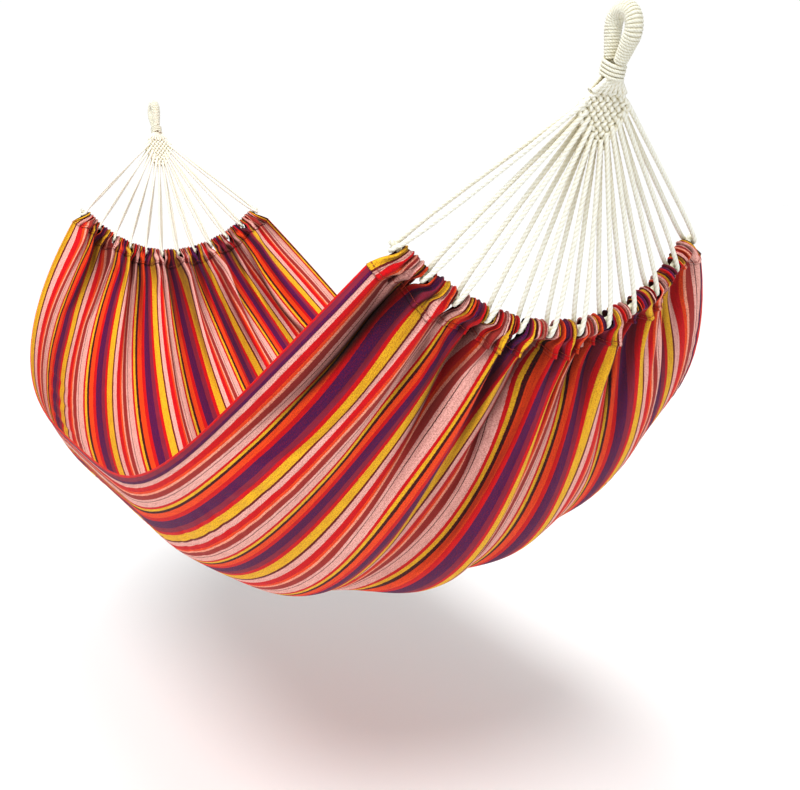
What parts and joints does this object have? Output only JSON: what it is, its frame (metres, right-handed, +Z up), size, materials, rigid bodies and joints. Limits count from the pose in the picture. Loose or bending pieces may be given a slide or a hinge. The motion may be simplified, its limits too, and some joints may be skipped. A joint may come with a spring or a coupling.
{
  "type": "hammock",
  "caption": "Striped cotton cloth hammock hung from a fan of doubled cotton ropes, a woven heart and a whipped rope loop at each end.",
  "frame": {"origin": "where the near loop bears on its hook, at the inside top of the loop", "axes": "+Z up; the hammock runs from the near loop towards -X, and the far loop is at the same height; -Y is the bed's front edge and +Y its back edge"},
  "size_m": [1.9306, 0.8116, 0.8435],
  "materials": {
    "cotton_rope": "natural twisted cotton, matt",
    "whipping_cord": "natural cotton cord, matt",
    "striped_cotton": "woven cotton with lengthwise stripes, matt",
    "hem_cotton": "folded woven cotton, matt",
    "sewing_thread": "polyester thread, slight sheen"
  },
  "bodies": {
    "near_loop": {"near_loop_core": "cotton_rope", "near_loop_whipping": "whipping_cord", "near_neck_whipping": "whipping_cord"},
    "hammock": {"near_heart": "cotton_rope", "near_clew_rope_01": "cotton_rope", "near_clew_rope_02": "cotton_rope", "near_clew_rope_03": "cotton_rope", "near_clew_rope_04": "cotton_rope", "near_clew_rope_05": "cotton_rope", "near_clew_rope_06": "cotton_rope", "near_clew_rope_07": "cotton_rope", "near_clew_rope_08": "cotton_rope", "near_clew_rope_09": "cotton_rope", "near_clew_rope_10": "cotton_rope", "near_clew_rope_11": "cotton_rope", "near_clew_rope_12": "cotton_rope", "near_header_rope": "cotton_rope", "near_hem_channel": "striped_cotton", "near_hem_stitching": "sewing_thread", "far_heart": "cotton_rope", "far_clew_rope_01": "cotton_rope", "far_clew_rope_02": "cotton_rope", "far_clew_rope_03": "cotton_rope", "far_clew_rope_04": "cotton_rope", "far_clew_rope_05": "cotton_rope", "far_clew_rope_06": "cotton_rope", "far_clew_rope_07": "cotton_rope", "far_clew_rope_08": "cotton_rope", "far_clew_rope_09": "cotton_rope", "far_clew_rope_10": "cotton_rope", "far_clew_rope_11": "cotton_rope", "far_clew_rope_12": "cotton_rope", "far_header_rope": "cotton_rope", "far_hem_channel": "striped_cotton", "far_hem_stitching": "sewing_thread", "bed": "striped_cotton", "front_side_hem": "hem_cotton", "back_side_hem": "hem_cotton"},
    "far_loop": {"far_loop_core": "cotton_rope", "far_loop_whipping": "whipping_cord", "far_neck_whipping": "whipping_cord"}
  },
  "joints": [
    {"name": "near_swing", "type": "hinge", "parent": "near_loop", "child": "hammock", "pos_m": [-0.0251, 0, -0.06212], "axis": [1, 0, 0], "range_deg": [-35, 35]},
    {"name": "far_swing", "type": "hinge", "parent": "hammock", "child": "far_loop", "pos_m": [-1.8549, 0, -0.06212], "axis": [1, 0, 0], "range_deg": [-35, 35]}
  ],
  "couplings": [
    {"joint": "far_swing", "follows": "near_swing", "ratio": -1}
  ]
}
